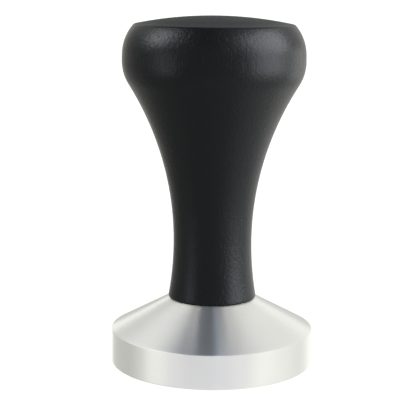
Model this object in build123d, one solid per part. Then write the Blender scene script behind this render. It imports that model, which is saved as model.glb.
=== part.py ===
from build123d import *
import os
from math import acos, asin, cos, degrees, radians, sin, tan

# An espresso tamper: a turned metal base, and a turned wooden handle that
# screws onto it. Millimetres, +Z up. The origin is the centre of the tamping
# face, which is the flat underside of the base.

# Base
BASE_RADIUS = 25.5  # for a 51 mm filter basket
RIM_HEIGHT = 8.55  # the straight wall below the cone
BASE_HEIGHT = 16.7  # the small flat that the handle's foot stands on
BASE_TOP_RADIUS = 10.6  # a little less than the handle's foot, which covers its edge
BASE_EDGE_ROUND = 0.3

# Handle's outline, from the foot to the top
NECK_RADIUS = 9.83
NECK_HEIGHT = 31.05  # where the handle is thinnest
NECK_LOWER_ARC = 80.4
NECK_UPPER_ARC = 74.5
SHOULDER_ARC = 10.9  # underside of the head
HEAD_RADIUS = 22.7
BAND_ARC = 38.7  # nearly straight stretch above the widest point
BAND_ANGLE = 3.1
CROWN_ARC = 11.15
CROWN_HEIGHT = 85.1  # where the crown meets the domed top
DOME_RISE = 2.05
CROWN_ROUND = 1.2
FOOT_ROUND = 0.3

# M8 x 1.25 right-hand thread. The ridge on the stud runs inside the groove
# with a little room all round. Widths are along the axis, at PITCH_RADIUS.
PITCH = 1.25
PITCH_RADIUS = 3.594
FLANK_SLOPE = tan(radians(30))
RIDGE_ROOT_RADIUS = 3.2
RIDGE_CREST_RADIUS = 3.93
RIDGE_WIDTH = 0.495
GROOVE_BORE_RADIUS = 3.4
GROOVE_BOTTOM_RADIUS = 4.1
GROOVE_WIDTH = 0.725

# Stud: a grub screw that stays in the handle
STUD_LENGTH = 25.0
STUD_IN_BASE = 10.0
STUD_CHAMFER = 0.8
SOCKET_ACROSS_FLATS = 4.0
SOCKET_DEPTH = 4.5
SOCKET_MOUTH_RADIUS = 2.45
SOCKET_DRILL_RADIUS = 1.9

# Blind tapped hole in the base
HOLE_DEPTH = 12.0
THREAD_DEPTH = 11.0
COUNTERSINK_RADIUS = 4.35
DRILL_POINT_ANGLE = 118.0

# Brass insert in the handle, with a knife-edged wood thread outside
INSERT_LENGTH = 13.0
INSERT_RADIUS = 5.1
INSERT_CREST_RADIUS = 6.1
INSERT_PITCH = 2.5
INSERT_RIDGE_ROOT_WIDTH = 1.2
INSERT_RIDGE_CREST_WIDTH = 0.25
INSERT_CHAMFER = 0.6
INSERT_HOLE_DEPTH = 17.5
GLUE_GAP = 0.04  # between the insert and the thread that it cuts in the wood
SLOT_WIDTH = 1.6
SLOT_DEPTH = 1.8

# Rubber ring round the stud, squeezed in its seat in the handle's foot
SEAT_DEPTH = 1.4
SEAT_RADIUS = 6.2
RING_INNER_RADIUS = 4.5
RING_OUTER_RADIUS = 6.15
RING_ROUND = 0.55

STUD_LOW = BASE_HEIGHT - STUD_IN_BASE
STUD_HIGH = STUD_LOW + STUD_LENGTH
INSERT_LOW = BASE_HEIGHT + SEAT_DEPTH
INSERT_HIGH = INSERT_LOW + INSERT_LENGTH

BEYOND = 8.0  # how far a cutting tool reaches past the solid
SUNK = 0.1  # how far a ridge is sunk into the rod or tool that it is fused to
SPARE_TURNS = 3  # how much longer a rod starts out than the ridge on it, at each end


def turned(outline):
    """Revolves a flat outline, drawn with X as the radius and Y as the height."""
    return revolve(Plane.XZ * outline, Axis.Z)


def turned_polygon(*points):
    """A turned solid whose outline has straight sides between (radius, height) points."""
    return turned(make_face(Polyline(*points, close=True)))


def tip_height(radius):
    """Height of the cone that a twist drill leaves at the end of its hole."""
    return radius / tan(radians(DRILL_POINT_ANGLE / 2))


def helical_ridge(section, pitch, low, high, radius):
    """A right-hand ridge round Z with a closed section of (radius, height) points.
    It starts a turn or more below low and ends at high. Ridges of one pitch are in
    step: each crosses the XZ plane, on the +X side, at whole multiples of the pitch."""
    start = (int(low / pitch) - 1) * pitch
    path = Helix(pitch, high - start, radius, center=(0, 0, start))
    corners = [(r, 0, start + z) for r, z in section]
    return sweep(make_face(Polyline(*corners, close=True)), path=path, is_frenet=True)


def ridge_section(inner, outer, inner_width, outer_width):
    """A ridge that narrows from its inner radius to its outer radius."""
    return [
        (inner, -inner_width / 2),
        (outer, -outer_width / 2),
        (outer, outer_width / 2),
        (inner, inner_width / 2),
    ]


def metric_section(inner, outer, width):
    """The 60 degree thread form, with its width given at the pitch radius."""
    inner_width = width + 2 * (PITCH_RADIUS - inner) * FLANK_SLOPE
    outer_width = width - 2 * (outer - PITCH_RADIUS) * FLANK_SLOPE
    return ridge_section(inner, outer, inner_width, outer_width)


def rod(radius, low, high):
    """A plain cylinder round Z between two heights."""
    return turned_polygon((0, low), (radius, low), (radius, high), (0, high))


def end_trimmer(end, direction, radius, chamfer):
    """Cuts a threaded rod off at a height and chamfers its end at 45 degrees.
    The direction is 1 at an upper end and -1 at a lower one."""
    wide = radius + BEYOND
    return turned_polygon(
        (0, end),
        (radius - chamfer, end),
        (wide, end - direction * (BEYOND + chamfer)),
        (wide, end + direction * BEYOND),
        (0, end + direction * BEYOND),
    )


def threaded_rod(section, pitch, low, high, core_radius, crest_radius, chamfer):
    """A rod with a helical ridge, cut from a longer one and chamfered at both ends."""
    spare = SPARE_TURNS * pitch
    body = rod(core_radius, low - spare, high + spare)
    body += helical_ridge(section, pitch, low, high + pitch, core_radius)
    body -= end_trimmer(low, -1, crest_radius, chamfer)
    return body - end_trimmer(high, 1, crest_radius, chamfer)


def thread_groove(low, high):
    """Cuts the M8 thread into a bore of GROOVE_BORE_RADIUS."""
    section = metric_section(GROOVE_BORE_RADIUS - SUNK, GROOVE_BOTTOM_RADIUS, GROOVE_WIDTH)
    return helical_ridge(section, PITCH, low, high, PITCH_RADIUS)


def base_blank():
    """The base as turned, with its edges broken, before it is drilled."""
    rim_foot = (BASE_RADIUS, 0)
    rim_top = (BASE_RADIUS, RIM_HEIGHT)
    cone_top = (BASE_TOP_RADIUS, BASE_HEIGHT)
    outline = make_face(Polyline((0, 0), rim_foot, rim_top, cone_top, (0, BASE_HEIGHT), close=True))
    corners = outline.vertices().filter_by(lambda corner: corner.X > BASE_TOP_RADIUS / 2)
    return turned(fillet(corners, BASE_EDGE_ROUND))


def threaded_bore():
    """The straight part of the blind M8 hole, with its thread."""
    bore = rod(GROOVE_BORE_RADIUS, BASE_HEIGHT - HOLE_DEPTH, BASE_HEIGHT + BEYOND)
    thread_end = BASE_HEIGHT - THREAD_DEPTH + PITCH
    return bore + thread_groove(thread_end, BASE_HEIGHT + PITCH)


def drill_and_countersink():
    """The drill's pointed end and the countersink, joined by a rod as wide as the bore."""
    floor = BASE_HEIGHT - HOLE_DEPTH
    countersink_depth = COUNTERSINK_RADIUS - GROOVE_BORE_RADIUS
    return turned_polygon(
        (0, floor - tip_height(GROOVE_BORE_RADIUS)),
        (GROOVE_BORE_RADIUS, floor),
        (GROOVE_BORE_RADIUS, BASE_HEIGHT - countersink_depth),
        (COUNTERSINK_RADIUS + BEYOND, BASE_HEIGHT + BEYOND),
        (0, BASE_HEIGHT + BEYOND),
    )


def base():
    """Turned aluminium base with its blind tapped hole."""
    return base_blank() - threaded_bore() - drill_and_countersink()


def handle_outline():
    """Half of the handle's section: tangent arcs from the foot to the crown, then the dome."""
    foot_angle = degrees(asin((NECK_HEIGHT - BASE_HEIGHT) / NECK_LOWER_ARC))
    widening = HEAD_RADIUS - NECK_RADIUS
    flank_angle = degrees(acos(1 - widening / (NECK_UPPER_ARC + SHOULDER_ARC)))
    neck = (NECK_RADIUS, NECK_HEIGHT)
    neck_low = JernArc(neck, (0, -1), NECK_LOWER_ARC, foot_angle)
    neck_high = JernArc(neck, (0, 1), NECK_UPPER_ARC, -flank_angle)
    shoulder = JernArc(neck_high @ 1, neck_high % 1, SHOULDER_ARC, flank_angle)
    band = JernArc(shoulder @ 1, shoulder % 1, BAND_ARC, BAND_ANGLE)
    crown_rise = CROWN_HEIGHT - (band @ 1).Y
    crown_end = degrees(asin(crown_rise / CROWN_ARC + sin(radians(BAND_ANGLE))))
    crown = JernArc(band @ 1, band % 1, CROWN_ARC, crown_end - BAND_ANGLE)
    edge = crown @ 1
    dome_radius = (edge.X**2 + DOME_RISE**2) / (2 * DOME_RISE)
    dome = RadiusArc(edge, (0, CROWN_HEIGHT + DOME_RISE), -dome_radius)
    foot = neck_low @ 1
    axis = Polyline((0, CROWN_HEIGHT + DOME_RISE), (0, BASE_HEIGHT), foot)
    outline = make_face([neck_low, neck_high, shoulder, band, crown, dome, axis])
    outline = fillet(outline.vertices().sort_by_distance(edge)[0], CROWN_ROUND)
    return fillet(outline.vertices().sort_by_distance(foot)[0], FOOT_ROUND)


def insert_section(gap):
    """The insert's wood thread, or the groove that it cuts, which is larger by a gap."""
    return ridge_section(
        INSERT_RADIUS - SUNK,
        INSERT_CREST_RADIUS + gap,
        INSERT_RIDGE_ROOT_WIDTH + 2 * gap,
        INSERT_RIDGE_CREST_WIDTH + 2 * gap,
    )


def insert_hole():
    """The hole drilled for the insert, with the thread that the insert cuts in its wall."""
    radius = INSERT_RADIUS + GLUE_GAP
    drill_end = BASE_HEIGHT + INSERT_HOLE_DEPTH
    drilled = turned_polygon(
        (0, BASE_HEIGHT - BEYOND),
        (radius, BASE_HEIGHT - BEYOND),
        (radius, drill_end),
        (0, drill_end + tip_height(radius)),
    )
    section = insert_section(GLUE_GAP)
    thread_end = INSERT_HIGH + INSERT_PITCH / 2
    return drilled + helical_ridge(section, INSERT_PITCH, INSERT_LOW, thread_end, INSERT_RADIUS)


def handle():
    """Turned wooden handle, drilled from below for the insert and recessed for the ring."""
    seat = rod(SEAT_RADIUS, BASE_HEIGHT - BEYOND, INSERT_LOW)
    return turned(handle_outline()) - insert_hole() - seat


def threaded_insert():
    """Brass insert: wood thread outside, M8 inside, screwdriver slot in its lower end."""
    section = insert_section(0)
    body = threaded_rod(
        section, INSERT_PITCH, INSERT_LOW, INSERT_HIGH, INSERT_RADIUS, INSERT_CREST_RADIUS, INSERT_CHAMFER
    )
    bore = rod(GROOVE_BORE_RADIUS, INSERT_LOW - BEYOND, INSERT_HIGH + BEYOND)
    body -= bore + thread_groove(INSERT_LOW, INSERT_HIGH + PITCH)
    slot = Box(4 * INSERT_RADIUS, SLOT_WIDTH, 2 * SLOT_DEPTH)
    return body - Pos(0, 0, INSERT_LOW) * slot


def hexagon_socket():
    """Socket for a hexagon key, with a coned mouth and a drilled end."""
    corner_radius = SOCKET_ACROSS_FLATS / 2 / cos(radians(30))
    prism = extrude(RegularPolygon(corner_radius, 6), SOCKET_DEPTH)
    mouth = turned_polygon((0, -BEYOND), (SOCKET_MOUTH_RADIUS + BEYOND, -BEYOND), (0, SOCKET_MOUTH_RADIUS))
    tip_end = SOCKET_DEPTH + tip_height(SOCKET_DRILL_RADIUS)
    drill = (SOCKET_DRILL_RADIUS, SOCKET_DEPTH)
    tip = turned_polygon((0, 0), (SOCKET_DRILL_RADIUS, 0), drill, (0, tip_end))
    return Pos(0, 0, STUD_LOW) * (prism + tip + mouth)


def stud():
    """M8 x 25 grub screw. Its socket end points down, out of the handle."""
    section = metric_section(RIDGE_ROOT_RADIUS - SUNK, RIDGE_CREST_RADIUS, RIDGE_WIDTH)
    body = threaded_rod(
        section, PITCH, STUD_LOW, STUD_HIGH, RIDGE_ROOT_RADIUS, RIDGE_CREST_RADIUS, STUD_CHAMFER
    )
    return body - hexagon_socket()


def sealing_ring():
    """Rubber ring, flattened between the base and its seat."""
    width = RING_OUTER_RADIUS - RING_INNER_RADIUS
    centre = ((RING_INNER_RADIUS + RING_OUTER_RADIUS) / 2, BASE_HEIGHT + SEAT_DEPTH / 2)
    return turned(Pos(*centre) * RectangleRounded(width, SEAT_DEPTH, RING_ROUND))


NODES = {
    "base": base,
    "handle": handle,
    "threaded_insert": threaded_insert,
    "stud": stud,
    "sealing_ring": sealing_ring,
}

os.makedirs("parts", exist_ok=True)
for name, make in NODES.items():
    export_step(make(), f"parts/{name}.step")
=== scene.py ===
from math import acos, asin, atan2, ceil, cos, dist, hypot, pi, radians, sin, sqrt, tan

import bmesh
import bpy
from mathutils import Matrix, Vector


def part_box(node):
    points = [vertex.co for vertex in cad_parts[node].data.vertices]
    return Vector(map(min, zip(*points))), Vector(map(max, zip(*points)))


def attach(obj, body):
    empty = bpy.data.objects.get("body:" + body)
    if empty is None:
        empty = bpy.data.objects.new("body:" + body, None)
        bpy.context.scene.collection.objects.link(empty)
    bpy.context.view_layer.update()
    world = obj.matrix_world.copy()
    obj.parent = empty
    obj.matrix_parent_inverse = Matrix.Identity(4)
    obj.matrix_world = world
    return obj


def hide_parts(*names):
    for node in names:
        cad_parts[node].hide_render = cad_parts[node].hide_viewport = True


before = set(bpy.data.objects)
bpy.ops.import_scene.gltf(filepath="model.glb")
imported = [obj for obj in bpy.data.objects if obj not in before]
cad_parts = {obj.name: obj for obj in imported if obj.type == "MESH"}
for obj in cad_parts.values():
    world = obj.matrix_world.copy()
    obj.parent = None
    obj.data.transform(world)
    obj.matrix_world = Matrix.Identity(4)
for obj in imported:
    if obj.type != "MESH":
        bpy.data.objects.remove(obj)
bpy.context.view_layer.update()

# An espresso tamper: a turned aluminium base with a black lacquered wooden
# handle screwed onto it. Metres, +Z up, origin at the centre of the tamping
# face, as in the CAD model. The base and the handle are turned here as fine
# meshes. The stud, the insert and the ring keep their CAD shapes.

MM = 0.001

# Base
BASE_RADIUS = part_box("base")[1].x
BASE_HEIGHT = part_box("base")[1].z
RIM_HEIGHT = 8.55 * MM
BASE_TOP_RADIUS = 10.6 * MM
BASE_EDGE_ROUND = 0.3 * MM

# Tapped hole in the base
PITCH = 1.25 * MM
PITCH_RADIUS = 3.594 * MM
BORE_RADIUS = 3.4 * MM
GROOVE_RADIUS = 4.1 * MM
GROOVE_WIDTH = 0.725 * MM  # along the axis, at the pitch radius
COUNTERSINK_RADIUS = 4.35 * MM
HOLE_DEPTH = 12.0 * MM
THREAD_DEPTH = 10.5 * MM
THREAD_FLANK_ANGLE = radians(30)
DRILL_POINT_ANGLE = radians(118)

# Handle
HEAD_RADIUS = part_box("handle")[1].x
HANDLE_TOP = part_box("handle")[1].z
NECK_RADIUS = 9.83 * MM
NECK_HEIGHT = 31.05 * MM
NECK_LOWER_ARC = 80.4 * MM
NECK_UPPER_ARC = 74.5 * MM
SHOULDER_ARC = 10.9 * MM
BAND_ARC = 38.7 * MM
BAND_ANGLE = radians(3.1)
CROWN_ARC = 11.15 * MM
DOME_RISE = 2.05 * MM
CROWN_HEIGHT = HANDLE_TOP - DOME_RISE
CROWN_ROUND = 1.2 * MM
FOOT_ROUND = 0.3 * MM
SEAT_RADIUS = 6.2 * MM
SEAT_DEPTH = 1.4 * MM
INSERT_HOLE_RADIUS = 5.14 * MM
INSERT_HOLE_DEPTH = 17.5 * MM

# Meshes of the turned pieces
AROUND = 192  # columns of faces round the axis
FLAT_STEP = 1.5 * MM  # the longest face on the base's flat top and bottom
SIDE_STEP = 1.0 * MM  # on sides and other short lines
THREAD_STEP = PITCH / 20  # in the tapped hole
HOLE_STEP = 2.0 * MM  # in the insert's hole
SEAT_STEP = 0.7 * MM  # in the seat round its mouth
CURVE_STEP = 0.8 * MM  # on the neck and the dome
BAND_STEP = 0.5 * MM  # on the band round the head
TIGHT_STEP = 0.4 * MM  # on the shoulder and the crown
ROUND_STEP = 0.08 * MM  # on the handle's rounded edges
SHARP_ANGLE = radians(35)  # edges that turn further than this stay crisp
SAME_POINT = 0.0001 * MM  # points nearer than this are one

# Noise. A scale is a number of features in a metre.
NOISE_MIDDLE = (0.3, 0.7)  # the range that most of a noise's values lie in

# Lacquered wood
GRAIN_SCALE = 1500
GRAIN_STRETCH = 0.06  # scale along the handle, as a share of the scale across it
PORE_SCALE = 2600
PORE_STRETCH = 0.15
PORE_LEVELS = (0.6, 0.75)
PEEL_SCALE = 1100  # the lacquer's orange peel
MOTTLE_SCALE = 60
SPECK_SCALE = 700
SPECK_EDGE = (0.05, 0.2)  # a speck fades between these distances from its centre, in cells
SPECK_CHANCE = (0.93, 0.95)  # cells with a random number above this hold a speck
RELIEF = 0.034 * MM  # the grain's, which the next three are multiples of
PORE_RELIEF = -0.7
PEEL_RELIEF = 1.8
SPECK_RELIEF = 1.2
DEEP_BLACK = (0.001, (0.9, 1, 1.1))  # brightness and tint, as in the next two
SOFT_BLACK = (0.002, (0.95, 1, 1.1))
SPECK_GREY = (0.005, (1, 1, 1.05))
LACQUER_ROUGHNESS = (0.34, 0.38)
END_GRAIN_ROUGHNESS = 0.14  # added on the dome
END_GRAIN_RISE = 0.8 * MM  # height that it takes to grow in
LACQUER_GLOSS = 0.1
LACQUER_TINT = (0.93, 1, 1.08)

# Turned metal
RADIUS_SHARE = 0.83  # how much radius counts beside height, so that faces and sides both have rings
CLOUD_SCALE = 90
ROUGHNESS_DRIFT = 0.02
# Painted shade: the rings' valleys are coloured this much darker than their ridges.
RING_VALLEY_SHADE = 0.98  # brightness of the rings' valleys beside their ridges
ACROSS_RINGS = 0.25  # a quarter turn, so that highlights spread across the rings

# Rubber
MOULD_SCALE = 3000
BLOOM_SCALE = 200
RUBBER_SHADES = (0.018, 0.03)
RUBBER_ROUGHNESS = (0.6, 0.75)
RUBBER_RELIEF = 0.02 * MM

# Studio
FLOOR_GLOW = 0.85
FLOOR_SHADE = 0.25
FLOOR_RADIUS = 8.0
FLOOR_DROP = 0.05 * MM  # keeps the floor clear of the tamping face
CAMERA_DISTANCE = 313.2 * MM
CAMERA_HEIGHT = 98.35 * MM
CAMERA_TILT = radians(10.68)
CAMERA_ROLL = radians(0.5)
CAMERA_ASIDE = -1.2 * MM
LENS = 109.7  # millimetres, on a 36 mm sensor
MIDDLE = 45 * MM  # height that the softboxes are aimed at
CARD_HEIGHT = 1 * MM  # height that the reflector cards lie at
WALLS_END = radians(15)  # the walls turn into the ceiling between these two elevations
CEILING_START = radians(45)
WARM = (1.02, 1.02, 0.96)
COOL = (0.83, 0.98, 1.19)
NEUTRAL = (1, 1, 1)

# Brightness of the room overhead, by the angle that a direction leans left (-) or right (+)
CEILING = [
    (-60, 1.9, WARM),
    (-34, 1.9, WARM),
    (-28, 1.0, WARM),
    (-23, 0.38, NEUTRAL),
    (-14, 0.32, COOL),
    (-5, 0.28, COOL),
    (-2, 0.21, COOL),
    (2, 0.21, COOL),
    (6, 1.15, COOL),
    (11, 0.6, NEUTRAL),
    (16, 0.5, NEUTRAL),
    (22, 1.15, WARM),
    (60, 1.45, WARM),
]
# Brightness of the walls, by the bearing to the left (-) or right (+) of the camera's side
WALLS = [
    (-180, 0.55, WARM),
    (-170, 0.7, WARM),
    (-161, 1.6, WARM),
    (-150, 0.8, WARM),
    (-105, 0.7, WARM),
    (-88, 0.9, WARM),
    (-73, 1.25, WARM),
    (-60, 1.18, WARM),
    (-48, 1.03, NEUTRAL),
    (0, 1.15, NEUTRAL),
    (40, 1.18, NEUTRAL),
    (60, 1.4, WARM),
    (85, 1.28, WARM),
    (120, 1.1, WARM),
    (155, 1.4, WARM),
    (168, 0.9, WARM),
    (180, 0.55, WARM),
]
# Softboxes for the handle: degrees round from the camera's side towards +X and degrees up,
# both as seen from the middle of the tamper, then distance, width and height in metres, and radiance
SOFTBOXES = {
    "right_high_softbox": (77, 32, 0.8, 0.75, 0.6, 16.0),
    "right_low_softbox": (68, 2, 0.2, 0.14, 0.1, 11.0),
    "right_side_softbox": (112, 2, 0.2, 0.14, 0.1, 2.5),
    "left_high_softbox": (-85, 38, 0.8, 0.3, 0.4, 20.0),
    "left_low_softbox": (-60, 2, 0.2, 0.07, 0.1, 4.5),
}
# Reflector cards for the handle: X, Y, width and depth in metres, and radiance
CARDS = {
    "right_card": (0.11, -0.03, 0.14, 0.24, 0.8),
    "front_card": (0.03, -0.12, 0.2, 0.14, 0.3),
}


# Shapes -------------------------------------------------------------------


def arc(centre, radius, start, end, step):
    """Points along an arc in the (radius, height) plane, both ends included."""
    count = max(2, ceil(abs(end - start) * radius / step))
    angles = [start + (end - start) * i / count for i in range(count + 1)]
    return [(centre[0] + radius * cos(a), centre[1] + radius * sin(a)) for a in angles]


def line(start, end, step):
    """Points along a straight line, both ends included."""
    across, up = end[0] - start[0], end[1] - start[1]
    count = max(1, ceil(hypot(across, up) / step))
    return [(start[0] + across * i / count, start[1] + up * i / count) for i in range(count + 1)]


def join(*runs):
    """One outline from runs that meet end to end, without repeated points."""
    outline = []
    for run in runs:
        for point in run:
            if not outline or dist(point, outline[-1]) > SAME_POINT:
                outline.append(point)
    return outline


def rounded_corner(before, corner, after, radius, steps=6):
    """The points of a fillet between two straight sides."""
    corner = Vector(corner)
    back = (Vector(before) - corner).normalized()
    ahead = (Vector(after) - corner).normalized()
    half = back.angle(ahead) / 2
    centre = corner + (back + ahead).normalized() * radius / sin(half)
    first = corner + back * radius / tan(half) - centre
    last = corner + ahead * radius / tan(half) - centre
    turn = first.angle_signed(last)
    start = atan2(first.y, first.x)
    angles = [start - turn * i / steps for i in range(steps + 1)]
    return [(centre.x + radius * cos(a), centre.y + radius * sin(a)) for a in angles]


def add(name, data):
    """Puts a mesh, light or camera into the scene as a new object."""
    piece = bpy.data.objects.new(name, data)
    bpy.context.scene.collection.objects.link(piece)
    return piece


def turned_piece(name, outline, radius_at=None):
    """Revolves an outline of (radius, height) points that starts and ends on the axis.
    radius_at(radius, height, angle) may vary the radius round the axis."""
    shape = bmesh.new()
    low = shape.verts.new((0, 0, outline[0][1]))
    high = shape.verts.new((0, 0, outline[-1][1]))
    rings = []
    for radius, height in outline[1:-1]:
        ring = []
        for column in range(AROUND):
            angle = 2 * pi * column / AROUND
            reach = radius_at(radius, height, angle) if radius_at else radius
            ring.append(shape.verts.new((reach * cos(angle), reach * sin(angle), height)))
        rings.append(ring)
    for here in range(AROUND):
        there = (here + 1) % AROUND
        shape.faces.new((low, rings[0][there], rings[0][here]))
        shape.faces.new((high, rings[-1][here], rings[-1][there]))
        for below, above in zip(rings, rings[1:]):
            shape.faces.new((below[here], below[there], above[there], above[here]))
    bmesh.ops.recalc_face_normals(shape, faces=shape.faces)
    mesh = bpy.data.meshes.new(name)
    shape.to_mesh(mesh)
    shape.free()
    mesh.shade_smooth()
    mesh.set_sharp_from_angle(angle=SHARP_ANGLE)
    return add(name, mesh)


def groove_radius(height, angle):
    """Radius of the M8 groove's wall at a height and angle. Between turns it is inside the bore."""
    phase = (height / PITCH - angle / (2 * pi)) % 1
    from_middle = min(phase, 1 - phase) * PITCH
    flank = PITCH_RADIUS + (GROOVE_WIDTH / 2 - from_middle) / tan(THREAD_FLANK_ANGLE)
    return min(GROOVE_RADIUS, flank)


def base_piece():
    """The turned base: tamping face, rim, cone, and the tapped hole down to its drill point."""
    rim_low = (BASE_RADIUS, 0)
    rim_high = (BASE_RADIUS, RIM_HEIGHT)
    cone_top = (BASE_TOP_RADIUS, BASE_HEIGHT)
    mouth = (COUNTERSINK_RADIUS, BASE_HEIGHT)
    thread_end = BASE_HEIGHT - THREAD_DEPTH
    bore_top = (BORE_RADIUS, BASE_HEIGHT - (COUNTERSINK_RADIUS - BORE_RADIUS))
    bore_tapped = (BORE_RADIUS, thread_end)
    bore_foot = (BORE_RADIUS, BASE_HEIGHT - HOLE_DEPTH)
    drill_tip = (0, bore_foot[1] - BORE_RADIUS / tan(DRILL_POINT_ANGLE / 2))
    low_edge = rounded_corner((0, 0), rim_low, rim_high, BASE_EDGE_ROUND)
    rim_edge = rounded_corner(rim_low, rim_high, cone_top, BASE_EDGE_ROUND)
    top_edge = rounded_corner(rim_high, cone_top, mouth, BASE_EDGE_ROUND)
    outline = join(
        line((0, 0), low_edge[0], FLAT_STEP),
        low_edge,
        line(low_edge[-1], rim_edge[0], SIDE_STEP),
        rim_edge,
        line(rim_edge[-1], top_edge[0], SIDE_STEP),
        top_edge,
        line(top_edge[-1], mouth, FLAT_STEP),
        line(mouth, bore_top, THREAD_STEP),
        line(bore_top, bore_tapped, THREAD_STEP),
        line(bore_tapped, bore_foot, SIDE_STEP),
        line(bore_foot, drill_tip, SIDE_STEP),
    )

    def tapped(radius, height, angle):
        in_hole = radius <= COUNTERSINK_RADIUS and height > thread_end
        return max(radius, groove_radius(height, angle)) if in_hole else radius

    return turned_piece("tamper_base", outline, tapped)


def handle_outline():
    """Half of the handle's section: down the hole, out across the foot, and up to the dome's top."""
    flank = acos(1 - (HEAD_RADIUS - NECK_RADIUS) / (NECK_UPPER_ARC + SHOULDER_ARC))
    # Centres of the outline's arcs, from the foot up
    lower = (NECK_RADIUS + NECK_LOWER_ARC, NECK_HEIGHT)
    upper = (NECK_RADIUS + NECK_UPPER_ARC, NECK_HEIGHT)
    widest = NECK_HEIGHT + (NECK_UPPER_ARC + SHOULDER_ARC) * sin(flank)
    shoulder = (HEAD_RADIUS - SHOULDER_ARC, widest)
    band = (HEAD_RADIUS - BAND_ARC, widest)
    inward = BAND_ARC - CROWN_ARC
    crown = (band[0] + inward * cos(BAND_ANGLE), band[1] + inward * sin(BAND_ANGLE))
    edge_angle = asin((CROWN_HEIGHT - crown[1]) / CROWN_ARC)
    edge_radius = crown[0] + CROWN_ARC * cos(edge_angle)
    dome_radius = (edge_radius**2 + DOME_RISE**2) / (2 * DOME_RISE)
    dome = (0, HANDLE_TOP - dome_radius)
    # The round between crown and dome touches both from inside
    to_crown = CROWN_ARC - CROWN_ROUND
    to_dome = dome_radius - CROWN_ROUND
    apart = Vector(crown) - Vector(dome)
    lean = acos((to_dome**2 + apart.length**2 - to_crown**2) / (2 * to_dome * apart.length))
    dome_angle = atan2(apart.y, apart.x) - lean
    edge = (dome[0] + to_dome * cos(dome_angle), dome[1] + to_dome * sin(dome_angle))
    crown_angle = atan2(edge[1] - crown[1], edge[0] - crown[0])
    # The round at the foot touches the foot's face and the neck's lower arc
    foot_z = BASE_HEIGHT + FOOT_ROUND
    reach = NECK_LOWER_ARC + FOOT_ROUND
    foot = (lower[0] - sqrt(reach**2 - (foot_z - lower[1]) ** 2), foot_z)
    foot_angle = atan2(lower[1] - foot_z, lower[0] - foot[0])
    seat_top = BASE_HEIGHT + SEAT_DEPTH
    hole_end = BASE_HEIGHT + INSERT_HOLE_DEPTH
    tip = hole_end + INSERT_HOLE_RADIUS / tan(DRILL_POINT_ANGLE / 2)
    return join(
        line((0, tip), (INSERT_HOLE_RADIUS, hole_end), HOLE_STEP),
        line((INSERT_HOLE_RADIUS, hole_end), (INSERT_HOLE_RADIUS, seat_top), HOLE_STEP),
        line((INSERT_HOLE_RADIUS, seat_top), (SEAT_RADIUS, seat_top), SIDE_STEP),
        line((SEAT_RADIUS, seat_top), (SEAT_RADIUS, BASE_HEIGHT), SEAT_STEP),
        line((SEAT_RADIUS, BASE_HEIGHT), (foot[0], BASE_HEIGHT), SIDE_STEP),
        arc(foot, FOOT_ROUND, -pi / 2, foot_angle, ROUND_STEP),
        arc(lower, NECK_LOWER_ARC, pi + foot_angle, pi, CURVE_STEP),
        arc(upper, NECK_UPPER_ARC, pi, pi - flank, CURVE_STEP),
        arc(shoulder, SHOULDER_ARC, -flank, 0, TIGHT_STEP),
        arc(band, BAND_ARC, 0, BAND_ANGLE, BAND_STEP),
        arc(crown, CROWN_ARC, BAND_ANGLE, crown_angle, TIGHT_STEP),
        arc(edge, CROWN_ROUND, crown_angle, dome_angle, ROUND_STEP),
        arc(dome, dome_radius, dome_angle, pi / 2, CURVE_STEP),
    )


# Materials ----------------------------------------------------------------


class Nodes:
    """A node tree, and short ways to add nodes to it."""

    def __init__(self, tree):
        self.tree = tree

    def node(self, kind, *inputs, **settings):
        """Adds a node. Its inputs, in order, are values or other nodes' outputs."""
        node = self.tree.nodes.new("ShaderNode" + kind)
        for key, value in settings.items():
            setattr(node, key, value)
        for socket, value in zip([s for s in node.inputs if s.enabled], inputs):
            self.set(socket, value)
        return node

    def named(self, kind, settings, **inputs):
        """Adds a node, with a dictionary of settings and its inputs by name, as in fill."""
        node = self.node(kind, **settings)
        self.fill(node, inputs)
        return node

    def fill(self, node, inputs):
        """Sets a node's inputs by name, written with underscores for spaces."""
        for name, value in inputs.items():
            self.set(node.inputs[name.replace("_", " ")], value)

    def set(self, socket, value):
        if isinstance(value, bpy.types.NodeSocket):
            self.tree.links.new(value, socket)
        else:
            socket.default_value = value

    def math(self, operation, *inputs):
        return self.node("Math", *inputs, operation=operation).outputs[0]

    def place(self):
        """A point's place in metres, in the piece's own frame."""
        return self.node("TexCoord").outputs["Object"]

    def axes(self, vector):
        return self.node("SeparateXYZ", vector).outputs

    def scaled(self, vector, x, y, z):
        return self.node("VectorMath", vector, (x, y, z), operation="MULTIPLY").outputs[0]

    def noise(self, vector, scale, detail=2.0, roughness=0.5):
        inputs = {"Vector": vector, "Scale": scale, "Detail": detail, "Roughness": roughness}
        return self.named("TexNoise", {}, **inputs).outputs[0]

    def span(self, value, low, high, to_low=0.0, to_high=1.0, kind="LINEAR"):
        """Maps a range of values onto another, clamped."""
        node = self.node("MapRange", value, low, high, to_low, to_high, interpolation_type=kind)
        return node.outputs[0]

    def blend(self, factor, first, second):
        """Mixes two colours, which are a Mix node's inputs 6 and 7 and its output 2."""
        node = self.node("Mix", data_type="RGBA")
        self.set(node.inputs["Factor"], factor)
        self.set(node.inputs[6], first)
        self.set(node.inputs[7], second)
        return node.outputs[2]

    def ramp(self, value, stops):
        """A colour for each value from 0 to 1, from (value, colour) stops."""
        node = self.node("ValToRGB", value)
        node.color_ramp.interpolation = "EASE"
        elements = node.color_ramp.elements
        while len(elements) < len(stops):
            elements.new(0.5)
        for element, (position, colour) in zip(elements, stops):
            element.position = position
            element.color = colour
        return node.outputs[0]

    def bump(self, height, distance):
        return self.named("Bump", {}, Height=height, Distance=distance, Strength=1.0).outputs[0]


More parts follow.
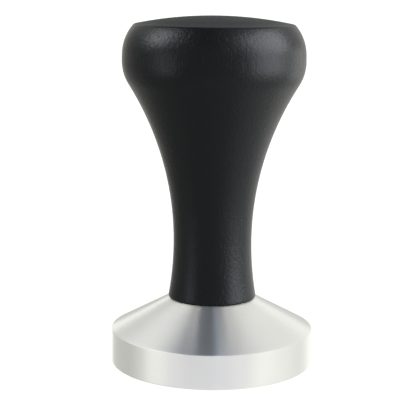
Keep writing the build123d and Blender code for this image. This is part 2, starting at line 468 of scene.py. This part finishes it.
class Shader(Nodes):
    """A material with one Principled shader."""

    def __init__(self, name):
        self.material = bpy.data.materials.new(name)
        self.material.use_nodes = True
        super().__init__(self.material.node_tree)
        self.tree.nodes.clear()
        self.principled = self.node("BsdfPrincipled")
        self.node("OutputMaterial", self.principled.outputs[0])

    def shade(self, **inputs):
        """Sets the Principled shader's inputs by name, as in fill."""
        self.fill(self.principled, inputs)


def grey(value, tint=NEUTRAL):
    """A colour of the given brightness, multiplied by a tint."""
    return (value * tint[0], value * tint[1], value * tint[2], 1)


def lacquered_wood():
    """Black satin lacquer over wood: the grain, the pores and a few dust specks just show through."""
    wood = Shader("black_lacquered_wood")
    place = wood.place()
    grain = wood.noise(wood.scaled(place, 1, 1, GRAIN_STRETCH), GRAIN_SCALE, detail=3, roughness=0.6)
    fibres = wood.noise(wood.scaled(place, 1, 1, PORE_STRETCH), PORE_SCALE)
    pores = wood.span(fibres, *PORE_LEVELS)
    peel = wood.noise(place, PEEL_SCALE, detail=3, roughness=0.6)
    mottle = wood.noise(place, MOTTLE_SCALE, detail=3)
    cells = wood.named("TexVoronoi", {}, Vector=place, Scale=SPECK_SCALE)
    spot = wood.span(cells.outputs["Distance"], *SPECK_EDGE, 1, 0)
    chosen = wood.span(wood.axes(cells.outputs["Color"])[0], *SPECK_CHANCE)
    speck = wood.math("MULTIPLY", spot, chosen)
    height = wood.math("MULTIPLY_ADD", pores, PORE_RELIEF, grain)
    height = wood.math("MULTIPLY_ADD", peel, PEEL_RELIEF, height)
    height = wood.math("MULTIPLY_ADD", speck, SPECK_RELIEF, height)
    colour = wood.blend(mottle, grey(*DEEP_BLACK), grey(*SOFT_BLACK))
    satin = wood.span(mottle, *NOISE_MIDDLE, *LACQUER_ROUGHNESS)
    dome_foot = (CROWN_HEIGHT, CROWN_HEIGHT + END_GRAIN_RISE)
    end_grain = wood.span(wood.axes(place)[2], *dome_foot, 0, END_GRAIN_ROUGHNESS)
    wood.shade(
        Base_Color=wood.blend(speck, colour, grey(*SPECK_GREY)),
        Roughness=wood.math("ADD", satin, end_grain),
        Specular_IOR_Level=LACQUER_GLOSS,
        Specular_Tint=grey(1, LACQUER_TINT),
        Normal=wood.bump(height, RELIEF),
    )
    return wood.material


def turned_metal(name, colour, roughness, anisotropy, ring_scale, ring_depth):
    """Metal off a lathe: fine rings round Z, which spread its highlights across them, with painted
    shade that darkens the rings' valleys.
    """
    metal = Shader(name)
    place = metal.place()
    x, y, z = metal.axes(place)
    squares = metal.math("MULTIPLY_ADD", x, x, metal.math("MULTIPLY", y, y))
    across = metal.math("MULTIPLY_ADD", metal.math("SQRT", squares), RADIUS_SHARE, z)
    one_way = {"noise_dimensions": "1D"}
    noise = metal.named("TexNoise", one_way, W=across, Scale=ring_scale, Detail=4.0, Roughness=0.7)
    rings = noise.outputs[0]
    clouds = metal.noise(place, CLOUD_SCALE, detail=3)
    ridge = metal.span(rings, *NOISE_MIDDLE)
    drift = (roughness - ROUGHNESS_DRIFT, roughness + ROUGHNESS_DRIFT)
    metal.shade(
        # Painted shade: the base colour darkens in the rings' valleys, where the bump is low.
        Base_Color=metal.blend(ridge, grey(RING_VALLEY_SHADE, colour), grey(1.0, colour)),
        Metallic=1.0,
        Roughness=metal.span(clouds, *NOISE_MIDDLE, *drift),
        Anisotropic=anisotropy,
        Anisotropic_Rotation=ACROSS_RINGS,
        Tangent=metal.node("Tangent", direction_type="RADIAL", axis="Z").outputs[0],
        Normal=metal.bump(rings, ring_depth),
    )
    return metal.material


def rubber():
    """Matt black nitrile rubber with a fine moulded texture."""
    ring = Shader("ring_rubber")
    place = ring.place()
    fine = ring.noise(place, MOULD_SCALE, detail=3)
    dark, pale = RUBBER_SHADES
    ring.shade(
        Base_Color=ring.blend(ring.noise(place, BLOOM_SCALE), grey(dark), grey(pale)),
        Roughness=ring.span(fine, *NOISE_MIDDLE, *RUBBER_ROUGHNESS),
        Normal=ring.bump(fine, RUBBER_RELIEF),
    )
    return ring.material


def pale_floor():
    """A plain white studio floor that glows a little, as a light table does."""
    floor = Shader("pale_floor")
    floor.shade(
        Base_Color=grey(FLOOR_SHADE),
        Roughness=0.9,
        Emission_Color=grey(1.0),
        Emission_Strength=FLOOR_GLOW,
    )
    return floor.material


# Studio -------------------------------------------------------------------


def studio_floor():
    """A round floor, far wider than the view. Reflections show the room instead of it."""
    shape = bmesh.new()
    bmesh.ops.create_circle(shape, cap_ends=True, radius=FLOOR_RADIUS, segments=96)
    mesh = bpy.data.meshes.new("floor")
    shape.to_mesh(mesh)
    shape.free()
    mesh.materials.append(pale_floor())
    floor = add("floor", mesh)
    floor.location.z = -FLOOR_DROP
    floor.visible_glossy = False


def studio_room():
    """Pale walls under a ceiling that is bright at its sides and dark overhead, but for one strip."""
    world = bpy.data.worlds.new("studio")
    bpy.context.scene.world = world
    world.use_nodes = True
    world.node_tree.nodes.clear()
    nodes = Nodes(world.node_tree)
    x, y, z = nodes.axes(nodes.node("TexCoord").outputs["Generated"])
    lean = nodes.span(nodes.math("ARCSINE", x), -pi / 2, pi / 2)
    bearing = nodes.span(nodes.math("ARCTAN2", x, nodes.math("MULTIPLY", y, -1.0)), -pi, pi)

    def by_angle(angle, widest, table):
        stops = [(0.5 + degrees / widest / 2, grey(value, tint)) for degrees, value, tint in table]
        return nodes.ramp(angle, stops)

    overhead = nodes.span(z, sin(WALLS_END), sin(CEILING_START), kind="SMOOTHSTEP")
    room = nodes.blend(overhead, by_angle(bearing, 180, WALLS), by_angle(lean, 90, CEILING))
    background = nodes.node("Background", room, 1.0)
    nodes.node("OutputWorld", background.outputs[0])


def panel(name, width, tall, radiance, lit):
    """A soft panel of light that shines on the given pieces alone."""
    light = bpy.data.lights.new(name, "AREA")
    light.shape = "RECTANGLE"
    light.size = width
    light.size_y = tall
    light.energy = radiance * pi * width * tall
    lamp = add(name, light)
    lamp.visible_camera = False
    receivers = bpy.data.collections.new(name)
    for piece in lit:
        receivers.objects.link(piece)
    lamp.light_linking.receiver_collection = receivers
    return lamp


def softbox(name, aside, up, distance, width, tall, radiance, lit):
    """A panel that faces the middle of the tamper. aside and up are its angles as seen from there,
    round from the camera's side towards +X and up from level."""
    lamp = panel(name, width, tall, radiance, lit)
    direction = Vector((cos(up) * sin(aside), -cos(up) * cos(aside), sin(up)))
    lamp.location = Vector((0, 0, MIDDLE)) + direction * distance
    lamp.rotation_euler = direction.to_track_quat("Z", "Y").to_euler()


def table_card(name, x, y, width, deep, radiance, lit):
    """A panel that lies on the floor and shines upwards, as a reflector card does."""
    lamp = panel(name, width, deep, radiance, lit)
    lamp.location = (x, y, CARD_HEIGHT)
    lamp.rotation_euler = (pi, 0, 0)


def camera():
    data = bpy.data.cameras.new("camera")
    data.lens = LENS
    data.clip_start = 0.01
    data.clip_end = 50
    eye = add("camera", data)
    eye.location = (CAMERA_ASIDE, -CAMERA_DISTANCE, CAMERA_HEIGHT)
    eye.rotation_euler = (pi / 2 - CAMERA_TILT, 0, 0)
    eye.rotation_euler.rotate_axis("Z", CAMERA_ROLL)
    bpy.context.scene.camera = eye


# The tamper ---------------------------------------------------------------

base = base_piece()
aluminium = turned_metal(
    "turned_aluminium",
    colour=(0.72, 0.72, 0.72),
    roughness=0.34,
    anisotropy=1.0,
    ring_scale=5000,
    ring_depth=0.0004 * MM,
)
base.data.materials.append(aluminium)
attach(base, "base")
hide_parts("base")

handle = turned_piece("tamper_handle", handle_outline())
handle.data.materials.append(lacquered_wood())
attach(handle, "handle")
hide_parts("handle")

brass = turned_metal(
    "insert_brass",
    colour=(0.85, 0.62, 0.28),
    roughness=0.28,
    anisotropy=0.4,
    ring_scale=6000,
    ring_depth=0.002 * MM,
)
zinc = turned_metal(
    "stud_zinc",
    colour=(0.52, 0.53, 0.55),
    roughness=0.35,
    anisotropy=0.3,
    ring_scale=6000,
    ring_depth=0.002 * MM,
)
node_materials = {"threaded_insert": brass, "stud": zinc, "sealing_ring": rubber()}
for name, material in node_materials.items():
    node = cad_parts[name]
    node.data.materials.clear()
    node.data.materials.append(material)

studio_floor()
studio_room()
for name, (aside, up, distance, width, tall, radiance) in SOFTBOXES.items():
    softbox(name, radians(aside), radians(up), distance, width, tall, radiance, [handle])
for name, (x, y, width, deep, radiance) in CARDS.items():
    table_card(name, x, y, width, deep, radiance, [handle])
camera()
bpy.context.scene.view_settings.view_transform = "Standard"
